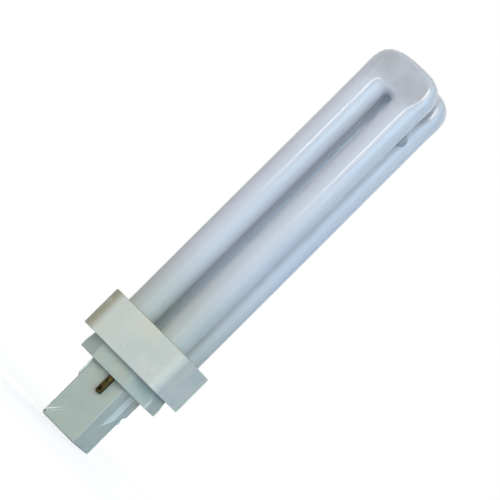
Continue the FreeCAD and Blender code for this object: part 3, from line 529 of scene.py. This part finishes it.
def makeBlockPlastic(s):
    material, tree, shader, place = newMaterial("blockPlastic", Specular_IOR_Level=0.3)
    middle = (blockLow + blockHigh) / 2
    fromMiddle = mapped(tree, place, move=tuple(-middle))
    skin = useGroup(tree, mouldedSkin, Vector=place, Scale=s["skinScale"])
    color = mixColor(tree, skin["Cloud"], s["plain"], s["cool"])
    right, _, up = axes(tree, fromMiddle)
    high = ramp(tree, up, *(at * mm for at in s["warmUp"]))
    left = ramp(tree, right, *(at * mm for at in s["warmLeft"]))
    stain = ramp(tree, noise(tree, place, s["warmScale"]), *s["warmSpan"])
    stained = calc(tree, "MULTIPLY", stain, calc(tree, "MAXIMUM", high, left))
    color = partly(tree, s["warmShare"], stained, color, s["warm"])
    # Darker and browner towards the left front corner
    plan = vectorCalc(tree, "MULTIPLY", place, (1.0, 1.0, 0.0))
    away = vectorCalc(tree, "DISTANCE", plan, (blockLow.x, blockLow.y, 0.0), "Value")
    nearLeftCorner = ramp(tree, away, s["brownFrom"] * mm, s["brownTo"] * mm)
    depth = ramp(tree, noise(tree, place, s["brownScale"]), *s["brownSpan"], *s["brownDepth"])
    color = mixColor(tree, calc(tree, "MULTIPLY", nearLeftCorner, depth), color, s["brown"])
    half = tuple((blockHigh - blockLow) / 2)
    edges = useGroup(tree, boxEdges, Vector=fromMiddle, Half_Size=half, Width=s["edge"] * mm)
    color = partly(tree, s["edgeShare"], edges["Mask"], color, s["paleMark"])
    lines = useGroup(tree, hairScratches, Vector=place, Scale=s["lineScale"], Amount=s["lineAmount"])
    color = mixColor(tree, lines["Mask"], color, s["paleMark"])
    color = addSpecks(tree, place, color, s)
    dust = useGroup(tree, restingDust, Vector=place, Amount=s["dust"])["Mask"]
    color = mixColor(tree, dust, color, s["dustColor"])
    setSocket(tree, shader.inputs["Base Color"], color)
    rough = calc(tree, "MULTIPLY_ADD", skin["Cloud"], s["cloudRoughness"], s["roughness"])
    rough = calc(tree, "MULTIPLY_ADD", dust, s["dustRoughness"], rough)
    setSocket(tree, shader.inputs["Roughness"], rough)
    relief = calc(tree, "SUBTRACT", skin["Height"], calc(tree, "MULTIPLY", lines["Mask"], s["lineDepth"]))
    setSocket(tree, shader.inputs["Normal"], bump(tree, relief, *s["relief"]))
    return material


capLook = {
    "plain": (0.395, 0.455, 0.41),
    "cool": (0.345, 0.42, 0.405),
    "skinScale": 2200.0,
    "relief": (0.3, 0.0001),
    "roughness": 0.3,
    "cloudRoughness": 0.14,  # added where the tone is cool
    "warm": (0.44, 0.45, 0.395),
    "warmScale": 210.0,
    "warmSpan": (0.45, 0.7),
    "warmShare": 0.7,
    "ribFrom": 7.66,  # mm out from the middle, where the painted highlight on the keying ribs' flanks begins
    "ribTo": 7.9,
    "ribCrest": 8.36,  # the crest itself is left out of the painted highlight
    "ribCrestFade": 0.12,
    "ribDown": -0.8,  # mm from the seat, where the painted highlight is full
    "ribHighlight": (0.66, 0.73, 0.70),
    "paleMark": (0.62, 0.66, 0.62),
    "lineScale": 230.0,
    "lineAmount": 0.3,
    "lineDepth": 0.8,
    "cornerAt": (15.4, 6.5),  # mm out, where chamfer and side of the tier meet and a painted highlight runs down the corner
    "cornerSize": 0.9,
    "scratchFrom": (-7.5, -22.7),  # mm across and up the front of the post
    "scratchTo": (-1.9, -16.7),
    "scratchWidth": 0.34,
    "faintFrom": (-5.5, -21.9),  # a fainter one beside it
    "faintTo": (-1.4, -17.3),
    "faintWidth": 0.24,
    "faintShare": 0.5,
    "scratchShare": 0.9,
    "scratchColor": (0.86, 0.86, 0.80),
    "scratchDepth": 2.0,
    "postFront": -10.2,  # mm, where the front face of the post lies
    "frontSpan": (0.8, 0.3),  # mm behind it, scratches stay in front of that
    "darkSpotAt": (-7.0, -23.1),  # small dark spot by the post's lower corner
    "darkSpotSize": 0.45,
    "darkSpotCore": 0.6,
    "darkSpotShare": 0.85,
    "darkSpotColor": (0.05, 0.06, 0.06),
    "speckScale": 700.0,
    "speckSize": 0.2,
    "speckShare": 0.5,
    "speckColor": (0.16, 0.16, 0.13),
    "dust": 0.6,
    "dustColor": (0.5, 0.48, 0.43),
}

scratchShape = {
    "startSpan": (-0.02, 0.02),  # shares of the length
    "endSpan": (0.85, 1.0),
    "sideSpan": (0.3, 1.0),  # shares of the width
    "leastWidth": 0.00001,  # metres, keeps the division sound
}


def scratchMask(tree, s, x, z, start, end, thickness):
    # A cut in the front plane that thins out from its start to its end, sizes in mm
    start, end, thickness = Vector(start) * mm, Vector(end) * mm, thickness * mm
    along = (end - start).normalized()
    dx = calc(tree, "SUBTRACT", x, start.x)
    dz = calc(tree, "SUBTRACT", z, start.y)
    run = calc(tree, "MULTIPLY_ADD", dx, along.x, calc(tree, "MULTIPLY", dz, along.y))
    off = calc(tree, "ABSOLUTE", calc(tree, "SUBTRACT", calc(tree, "MULTIPLY", dx, along.y),
                                      calc(tree, "MULTIPLY", dz, along.x)))
    share = calc(tree, "DIVIDE", run, (end - start).length)
    width = calc(tree, "MAXIMUM", ramp(tree, share, 0.0, 1.0, thickness, 0.0), s["leastWidth"])
    inside = calc(tree, "MULTIPLY", ramp(tree, share, *s["startSpan"]),
                  ramp(tree, share, *s["endSpan"], 1.0, 0.0))
    cut = ramp(tree, calc(tree, "DIVIDE", off, width), *s["sideSpan"], 1.0, 0.0)
    return calc(tree, "MULTIPLY", cut, inside)


def makeCapPlastic(s):
    material, tree, shader, place = newMaterial("capPlastic", Specular_IOR_Level=0.3)
    x, y, z = axes(tree, place)
    skin = useGroup(tree, mouldedSkin, Vector=place, Scale=s["skinScale"])
    color = mixColor(tree, skin["Cloud"], s["plain"], s["cool"])
    blotch = noise(tree, place, s["warmScale"], detail=4.0, roughness=0.6)
    color = partly(tree, s["warmShare"], ramp(tree, blotch, *s["warmSpan"]), color, s["warm"])
    # Painted highlight on the keying ribs' flanks below the seat, a lighter colour where the rib catches the
    # light
    out = calc(tree, "ABSOLUTE", x)
    crestFrom = s["ribCrest"] - s["ribCrestFade"]
    ribHighlight = ramp(tree, out, s["ribFrom"] * mm, s["ribTo"] * mm)
    ribHighlight = calc(tree, "MULTIPLY", ribHighlight, ramp(tree, z, 0.0, s["ribDown"] * mm))
    ribHighlight = calc(tree, "MULTIPLY", ribHighlight, ramp(tree, out, s["ribCrest"] * mm, crestFrom * mm))
    color = mixColor(tree, ribHighlight, color, s["ribHighlight"])
    lines = useGroup(tree, hairScratches, Vector=place, Scale=s["lineScale"], Amount=s["lineAmount"])
    color = mixColor(tree, lines["Mask"], color, s["paleMark"])
    color = addSpecks(tree, place, color, s)
    # Painted highlight down the tier's vertical corners, in the pale mark tone
    plan = vectorCalc(tree, "MULTIPLY", vectorCalc(tree, "ABSOLUTE", place), (1.0, 1.0, 0.0))
    corner = vectorCalc(tree, "DISTANCE", plan, (s["cornerAt"][0] * mm, s["cornerAt"][1] * mm, 0.0), "Value")
    color = mixColor(tree, ramp(tree, corner, s["cornerSize"] * mm, 0.0), color, s["paleMark"])
    # The long scratch that runs up from the post's lower corner, a fainter one and a small dark spot beside
    # it
    deep = scratchMask(tree, scratchShape, x, z, s["scratchFrom"], s["scratchTo"], s["scratchWidth"])
    faint = scratchMask(tree, scratchShape, x, z, s["faintFrom"], s["faintTo"], s["faintWidth"])
    cut = calc(tree, "MAXIMUM", deep, calc(tree, "MULTIPLY", faint, s["faintShare"]))
    onFront = ramp(tree, y, *((s["postFront"] + behind) * mm for behind in s["frontSpan"]))
    cut = calc(tree, "MULTIPLY", cut, onFront)
    color = partly(tree, s["scratchShare"], cut, color, s["scratchColor"])
    darkSpot = Vector((s["darkSpotAt"][0], s["postFront"], s["darkSpotAt"][1])) * mm
    distance = vectorCalc(tree, "DISTANCE", place, tuple(darkSpot), "Value")
    darkSpotMask = ramp(tree, distance, s["darkSpotSize"] * s["darkSpotCore"] * mm, s["darkSpotSize"] * mm, 1.0, 0.0)
    color = partly(tree, s["darkSpotShare"], darkSpotMask, color, s["darkSpotColor"])
    dust = useGroup(tree, restingDust, Vector=place, Amount=s["dust"])["Mask"]
    color = mixColor(tree, dust, color, s["dustColor"])
    setSocket(tree, shader.inputs["Base Color"], color)
    rough = calc(tree, "MULTIPLY_ADD", skin["Cloud"], s["cloudRoughness"], s["roughness"])
    setSocket(tree, shader.inputs["Roughness"], rough)
    relief = calc(tree, "SUBTRACT", skin["Height"], calc(tree, "MULTIPLY", lines["Mask"], s["lineDepth"]))
    relief = calc(tree, "SUBTRACT", relief, calc(tree, "MULTIPLY", cut, s["scratchDepth"]))
    setSocket(tree, shader.inputs["Normal"], bump(tree, relief, *s["relief"]))
    return material


brassLook = {
    "plain": (0.060, 0.044, 0.015),
    "dark": (0.012, 0.011, 0.005),
    "stainScale": 1500.0,
    "stainStretch": 0.25,
    "stainSpan": (0.35, 0.68),
    "relief": (0.2, 0.00005),
    "bright": (0.11, 0.078, 0.028),
    "brightScale": 600.0,
    "brightSpan": (0.45, 0.6),
    "brightShare": 0.4,
    "roughSpan": (0.3, 0.7),
    "roughness": (0.28, 0.5),  # least and most
    # painted shade in the crimp's dent, nearly black
    "crimp": (0.004, 0.004, 0.003),
    "crimpAt": (1.9, 13.25, 5.5),  # mm from the middle of the seat, on each pin's outer side
    "crimpFrom": 0.75,
    "crimpTo": 0.45,
}


def makePinBrass(s):
    material, tree, shader, place = newMaterial("darkenedBrass", Metallic=1.0)
    along = mapped(tree, place, stretch=(1.0, 1.0, s["stainStretch"]))
    stain = noise(tree, along, s["stainScale"], detail=4.0, roughness=0.65)
    color = mixColor(tree, ramp(tree, stain, *s["stainSpan"]), s["plain"], s["dark"])
    bright = ramp(tree, noise(tree, place, s["brightScale"], detail=2.0), *s["brightSpan"])
    color = partly(tree, s["brightShare"], bright, color, s["bright"])
    # Painted shade: the crimp's dent is coloured nearly black
    crimp = tuple(Vector(s["crimpAt"]) * mm)
    away = vectorCalc(tree, "DISTANCE", vectorCalc(tree, "ABSOLUTE", place), crimp, "Value")
    color = mixColor(tree, ramp(tree, away, s["crimpFrom"] * mm, s["crimpTo"] * mm), color, s["crimp"])
    setSocket(tree, shader.inputs["Base Color"], color)
    setSocket(tree, shader.inputs["Roughness"], ramp(tree, stain, *s["roughSpan"], *s["roughness"]))
    setSocket(tree, shader.inputs["Normal"], bump(tree, stain, *s["relief"]))
    return material


sleeveLook = {
    "gaps": (0.62, 0.60, 0.54),
    "strands": (0.83, 0.81, 0.75),
    "strandScale": 1100.0,
    "strandTurns": (0.8, -0.8),  # radians, two ways round
    "relief": (0.5, 0.0001),
}


def makeWovenSleeve(s):
    material, tree, shader, place = newMaterial("wovenSleeve", Roughness=0.8)
    height = None
    for turn in s["strandTurns"]:
        band = tree.nodes.new("ShaderNodeTexWave")
        setSocket(tree, band.inputs["Vector"], mapped(tree, place, turn=(0, turn, turn)))
        setSocket(tree, band.inputs["Scale"], s["strandScale"])
        strand = band.outputs["Fac"]
        height = strand if height is None else calc(tree, "MAXIMUM", height, strand)
    setSocket(tree, shader.inputs["Base Color"], mixColor(tree, height, s["gaps"], s["strands"]))
    setSocket(tree, shader.inputs["Normal"], bump(tree, height, *s["relief"]))
    return material


# Plainer materials: two tones in patches of one pattern, which may also move gloss and relief
patchLooks = {
    "siliconeDab": {
        "on": ("tube_spacer",),
        "shader": {"Roughness": 0.45},
        "tones": ((0.24, 0.31, 0.34), (0.33, 0.40, 0.42)),
        "scale": 500.0, "detail": 3.0, "grain": 0.55, "span": (0.35, 0.65), "relief": (0.3, 0.0003)},
    "ringCement": {
        "on": ("holder_cement",),
        "shader": {"Roughness": 0.9},
        "tones": ((0.60, 0.57, 0.50), (0.74, 0.72, 0.66)),
        "scale": 3200.0, "detail": 5.0, "grain": 0.7, "span": (0.3, 0.7), "relief": (0.6, 0.0002)},
    "starterGlass": {
        "on": ("starter_bulb",),
        "shader": {"Roughness": 0.06, "IOR": 1.5, "Transmission_Weight": 0.6},
        "tones": ((0.80, 0.85, 0.86), (0.62, 0.67, 0.70)),
        "scale": 260.0, "detail": 3.0, "grain": 0.55, "span": (0.35, 0.7)},
    "dippedResin": {
        "on": ("suppression_capacitor",),
        "shader": {"Roughness": 0.3, "Coat_Weight": 0.4},
        "tones": ((0.42, 0.13, 0.035), (0.55, 0.20, 0.06)),
        "scale": 700.0, "detail": 3.0, "grain": 0.55, "span": (0.3, 0.7), "relief": (0.25, 0.0002)},
}

drawnMetal = {"shader": {"Metallic": 1.0}, "detail": 4.0, "grain": 0.6, "span": (0.3, 0.7),
              "roughness": (0.25, 0.45), "relief": (0.15, 0.00004)}

patchLooks["leadWire"] = dict(
    drawnMetal, tones=((0.55, 0.53, 0.49), (0.36, 0.34, 0.31)), scale=2400.0,
    on=("pin_lead_front", "pin_lead_rear", "starter_lead_front", "starter_lead_rear"))
patchLooks["tinnedWire"] = dict(
    drawnMetal, tones=((0.66, 0.65, 0.62), (0.45, 0.44, 0.41)), scale=3000.0,
    on=("starter_wire_front", "starter_wire_rear", "capacitor_wire_front", "capacitor_wire_rear"))
patchLooks["tinnedFerrule"] = dict(
    drawnMetal, tones=((0.62, 0.57, 0.44), (0.42, 0.37, 0.26)), scale=1500.0,
    on=("splice_front", "splice_rear"))


def makePatchy(name, s):
    material, tree, shader, place = newMaterial(name, **s["shader"])
    pattern = noise(tree, place, s["scale"], s["detail"], s["grain"])
    setSocket(tree, shader.inputs["Base Color"], mixColor(tree, ramp(tree, pattern, *s["span"]), *s["tones"]))
    if "roughness" in s:
        setSocket(tree, shader.inputs["Roughness"], ramp(tree, pattern, *s["span"], *s["roughness"]))
    if "relief" in s:
        setSocket(tree, shader.inputs["Normal"], bump(tree, pattern, *s["relief"]))
    return material


glass = makeGlass(glassLook)
brass = makePinBrass(brassLook)
dress(glass, "discharge_tube")
dress(makeBlockPlastic(blockLook), "tube_holder")
dress(makeCapPlastic(capLook), "cap_body")
dress(brass, "contact_pin_front", "contact_pin_rear")
dress(makeWovenSleeve(sleeveLook), "pin_sleeve_front", "pin_sleeve_rear")
for lookName, look in patchLooks.items():
    dress(makePatchy(lookName, look), *look["on"])
print("materials on")


# The glass tube, each U drawn out ring by ring from the foot of one limb to the foot of the other.
# Lengths here are in mm

tube = {
    "limbRadius": 5.65,
    "crotch": 13.8,  # top of the bend down to the gap
    "squareLeft": 3.6,  # how square each corner of the bend's outline is, 2 is round
    "squareRight": 4.1,
    "squareCrotch": 2.6,
    "leftDrop": 0.5,  # the left corner is a little low
    "leftDropReach": 0.6,  # how far a ray leans to the left before the drop is full
    "outerFlat": 3.7,  # how flat the bend's front and back are, 2 is round
    "innerFlat": 2.7,  # towards the crotch
    "bendDepth": 5.35,
    "creaseFrom": 14.2,  # below the top, where round limb turns into flat bend
    "creaseTo": 11.2,
    "creaseSpread": 8.0,  # how much longer that takes on the outer side
    "ringPoints": 64,
    "bendRings": 44,
    "limbRings": 14,
    "footRings": 6,
    "wiredFoot": 13.4,  # lower ends of the limbs, above the seat
    "bridgedFoot": 9.4,
    "wiredFootRound": 3.5,
    "bridgedFootRound": 3.0,
    "bridgeRadius": 2.4,
    "bridgeHeight": 12.7,
    "pinchSize": (6.6, 2.4, 6.1),
    "pinchRound": 0.6,
    "pinchHeight": 13.85,
    "tipRadius": 1.2,
    "tipDepth": 3.7,
    "rodSides": 32,
    "tipSides": 24,
}


def smooth(value, low, high):
    share = min(max((value - low) / (high - low), 0.0), 1.0)
    return share * share * (3 - 2 * share)


def sectionPoint(s, inner, outer, depth, angle):
    # A point of the tube's section between an inner and an outer point of the U's plane
    middle, reach = (inner + outer) / 2, (outer - inner) / 2
    along = math.cos(angle)
    spot = middle + reach * along
    creaseTop = s["top"] - s["creaseTo"] + s["creaseSpread"] * max(along, 0.0)
    flat = smooth(spot.y, s["top"] - s["creaseFrom"], creaseTop)
    power = 2 + flat * ((s["outerFlat"] if along > 0 else s["innerFlat"]) - 2)
    across = max(1 - abs(along) ** power, 0.0) ** (1 / power)
    depth += flat * (s["bendDepth"] - s["limbRadius"])
    return Vector((spot.x, math.copysign(depth * across, math.sin(angle)), spot.y))


def footRing(s, side, foot, rounding, share):
    # One ring of a limb's rounded lower end
    turn = share * math.pi / 2
    inset = rounding * (1 - math.cos(turn))
    height = foot + rounding * (1 - math.sin(turn))
    nearX = side * (s["halfGap"] + inset)
    farX = side * (s["halfGap"] + 2 * s["limbRadius"] - inset)
    return Vector((nearX, height)), Vector((farX, height)), s["limbRadius"] - inset


def limbRing(s, side, height):
    nearX = side * s["halfGap"]
    farX = side * (s["halfGap"] + 2 * s["limbRadius"])
    return Vector((nearX, height)), Vector((farX, height)), s["limbRadius"]


def rayReach(ray, wide, high, power):
    return (abs(ray.x / wide) ** power + abs(ray.y / high) ** power) ** (-1 / power)


def bendRing(s, degrees):
    # The rings fan out about a point half a gap below the crotch
    turn = math.radians(degrees)
    centre = Vector((0, s["top"] - s["crotch"] - s["halfGap"]))
    ray = Vector((-math.cos(turn), math.sin(turn)))
    wide = s["halfGap"] + 2 * s["limbRadius"]
    high = s["crotch"] + s["halfGap"] - s["leftDrop"] * smooth(-ray.x, 0.0, s["leftDropReach"])
    reach = rayReach(ray, wide, high, s["squareLeft"] if ray.x < 0 else s["squareRight"])
    inner = rayReach(ray, s["halfGap"], s["halfGap"], s["squareCrotch"])
    return centre + ray * inner, centre + ray * reach, s["limbRadius"]


def tubeRings(s):
    bendBase = s["top"] - s["crotch"] - s["halfGap"]
    rings = []
    for step in range(s["footRings"], -1, -1):
        rings.append(footRing(s, -1, s["wiredFoot"], s["wiredFootRound"], step / s["footRings"]))
    start = s["wiredFoot"] + s["wiredFootRound"]
    for step in range(1, s["limbRings"]):
        rings.append(limbRing(s, -1, start + (bendBase - start) * step / s["limbRings"]))
    for step in range(s["bendRings"] + 1):
        rings.append(bendRing(s, 180 * step / s["bendRings"]))
    end = s["bridgedFoot"] + s["bridgedFootRound"]
    for step in range(1, s["limbRings"]):
        rings.append(limbRing(s, 1, bendBase + (end - bendBase) * step / s["limbRings"]))
    for step in range(s["footRings"] + 1):
        rings.append(footRing(s, 1, s["bridgedFoot"], s["bridgedFootRound"], step / s["footRings"]))
    return rings


def drawU(work, s, middle):
    rings = tubeRings(s)
    made = bmesh.ops.create_circle(work, segments=s["ringPoints"], radius=1.0)
    verts = made["verts"]
    edges = [e for e in work.edges if e.verts[0] in verts and e.verts[1] in verts]
    angles = {v: math.atan2(v.co.y, v.co.x) for v in verts}

    def settle(ring):
        inner, outer, depth = ring
        for v, angle in angles.items():
            v.co = sectionPoint(s, inner, outer, depth, angle) + Vector((0, middle, 0))

    settle(rings[0])
    bmesh.ops.contextual_create(work, geom=edges)
    for ring in rings[1:]:
        extruded = bmesh.ops.extrude_edge_only(work, edges=edges)["geom"]
        newVerts = [g for g in extruded if isinstance(g, bmesh.types.BMVert)]
        edges = [g for g in extruded if isinstance(g, bmesh.types.BMEdge)
                 and g.verts[0] in newVerts and g.verts[1] in newVerts]
        old = {tuple(v.co): angle for v, angle in angles.items()}
        angles = {v: old[tuple(v.co)] for v in newVerts}
        settle(ring)
    bmesh.ops.contextual_create(work, geom=edges)


def addRod(work, start, end, radius, segments):
    made = bmesh.ops.create_cone(work, cap_ends=True, segments=segments, radius1=radius, radius2=radius,
                                 depth=(end - start).length)
    turn = (end - start).to_track_quat("Z", "Y").to_matrix().to_4x4()
    bmesh.ops.transform(work, matrix=Matrix.Translation((start + end) / 2) @ turn, verts=made["verts"])


def addBlock(work, centre, size, rounding):
    made = bmesh.ops.create_cube(work, size=1.0)
    bmesh.ops.scale(work, vec=size, verts=made["verts"])
    bmesh.ops.translate(work, vec=centre, verts=made["verts"])
    edges = {e for v in made["verts"] for e in v.link_edges}
    bmesh.ops.bevel(work, geom=list(edges), offset=rounding, offset_type="OFFSET", affect="EDGES",
                    segments=3, profile=0.5, material=-1)


sharpAngle = 35.0  # degrees, edges that turn more than this stay crisp


def finishPiece(work, name, material):
    # Millimetres become metres, normals face out, and the piece joins the lamp
    bmesh.ops.recalc_face_normals(work, faces=work.faces)
    bmesh.ops.scale(work, vec=(mm, mm, mm), verts=work.verts)
    mesh = bpy.data.meshes.new(name)
    work.to_mesh(mesh)
    work.free()
    mesh.materials.append(material)
    mesh.shade_smooth()
    mesh.set_sharp_from_angle(angle=math.radians(sharpAngle))
    item = bpy.data.objects.new(name, mesh)
    scene.collection.objects.link(item)
    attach(item, "root")
    return item


def makeTube(s):
    low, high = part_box("discharge_tube")
    s = dict(s, top=high.z / mm, halfGap=high.x / mm - 2 * s["limbRadius"])
    limbX = s["halfGap"] + s["limbRadius"]
    limbY = high.y / mm - s["limbRadius"]
    work = bmesh.new()
    for middle in (-limbY, limbY):
        drawU(work, s, middle)
        addBlock(work, (-limbX, middle, s["pinchHeight"]), s["pinchSize"], s["pinchRound"])
    addRod(work, Vector((limbX, -limbY, s["bridgeHeight"])), Vector((limbX, limbY, s["bridgeHeight"])),
           s["bridgeRadius"], s["rodSides"])
    tipEnd = Vector((limbX, limbY, low.z / mm))
    addRod(work, tipEnd, tipEnd + Vector((0, 0, s["tipDepth"])), s["tipRadius"], s["tipSides"])
    item = finishPiece(work, "glassTube", glass)
    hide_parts("discharge_tube")


makeTube(tube)
print("glass tube made")


# The contact pins, with the punched crimp that holds the wire

pin = {  # mm, heights above the seat
    "radius": 1.25,
    "shank": 1.45,
    "head": 1.8,
    "bore": 0.75,
    "length": 7.1,  # from the seat down
    "mouthRound": 0.8,
    "mouthBore": 0.42,  # the end is drawn in
    "mouthTaper": 0.5,
    "headThickness": 0.45,
    "plateTop": 8.4,
    "crimpHeight": -5.5,
    "crimpRadius": 0.75,
    "crimpDepth": 0.45,
    "crimpFull": 0.75,  # share of its radius, from the rim in, where the crimp is full depth
    "crimpBelow": -0.5,  # what lies higher is never pushed
    "wallSlack": 0.05,  # tells the outer wall from the bore
    "shankSteps": 24,
    "mouthSteps": 6,
    "segments": 48,
    "weld": 0.0005,
}


def makePin(name, s):
    low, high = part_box(name)
    centre = (low + high) / 2 / mm
    side = math.copysign(1.0, centre.y)
    headTop = s["plateTop"] + s["headThickness"]
    profile = [(s["bore"], headTop), (s["head"], headTop), (s["head"], s["plateTop"]),
               (s["shank"], s["plateTop"]), (s["shank"], 0.0), (s["radius"], 0.0)]
    rise = s["length"] - s["mouthRound"]
    profile += [(s["radius"], -rise * step / s["shankSteps"]) for step in range(1, s["shankSteps"])]
    for step in range(s["mouthSteps"] + 1):
        turn = step / s["mouthSteps"] * math.pi / 2
        profile.append((s["radius"] - s["mouthRound"] * (1 - math.cos(turn)),
                        -rise - s["mouthRound"] * math.sin(turn)))
    profile += [(s["mouthBore"], -s["length"]), (s["mouthBore"], -rise),
                (s["bore"], -rise + s["mouthTaper"])]
    work = bmesh.new()
    verts = [work.verts.new((r, 0, z)) for r, z in profile]
    edges = [work.edges.new(pair) for pair in zip(verts, verts[1:] + verts[:1])]
    bmesh.ops.spin(work, geom=verts + edges, cent=(0, 0, 0), axis=(0, 0, 1), angle=2 * math.pi,
                   steps=s["segments"], use_merge=True)
    bmesh.ops.remove_doubles(work, verts=work.verts, dist=s["weld"])
    # The crimp, pushed in on the side away from the post
    punch = Vector((0, side * s["radius"], s["crimpHeight"]))
    for v in work.verts:
        if v.co.z < s["crimpBelow"] and v.co.xy.length > s["bore"] + s["wallSlack"]:
            share = 1 - (v.co - punch).length / s["crimpRadius"]
            if share > 0:
                v.co.y -= side * s["crimpDepth"] * smooth(share, 0.0, s["crimpFull"])
    bmesh.ops.translate(work, verts=work.verts, vec=(centre.x, centre.y, 0))
    item = finishPiece(work, "crimpedPin" + ("Front" if side < 0 else "Rear"), brass)
    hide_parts(name)


makePin("contact_pin_front", pin)
makePin("contact_pin_rear", pin)
print("pins made")


bpy.context.view_layer.update()
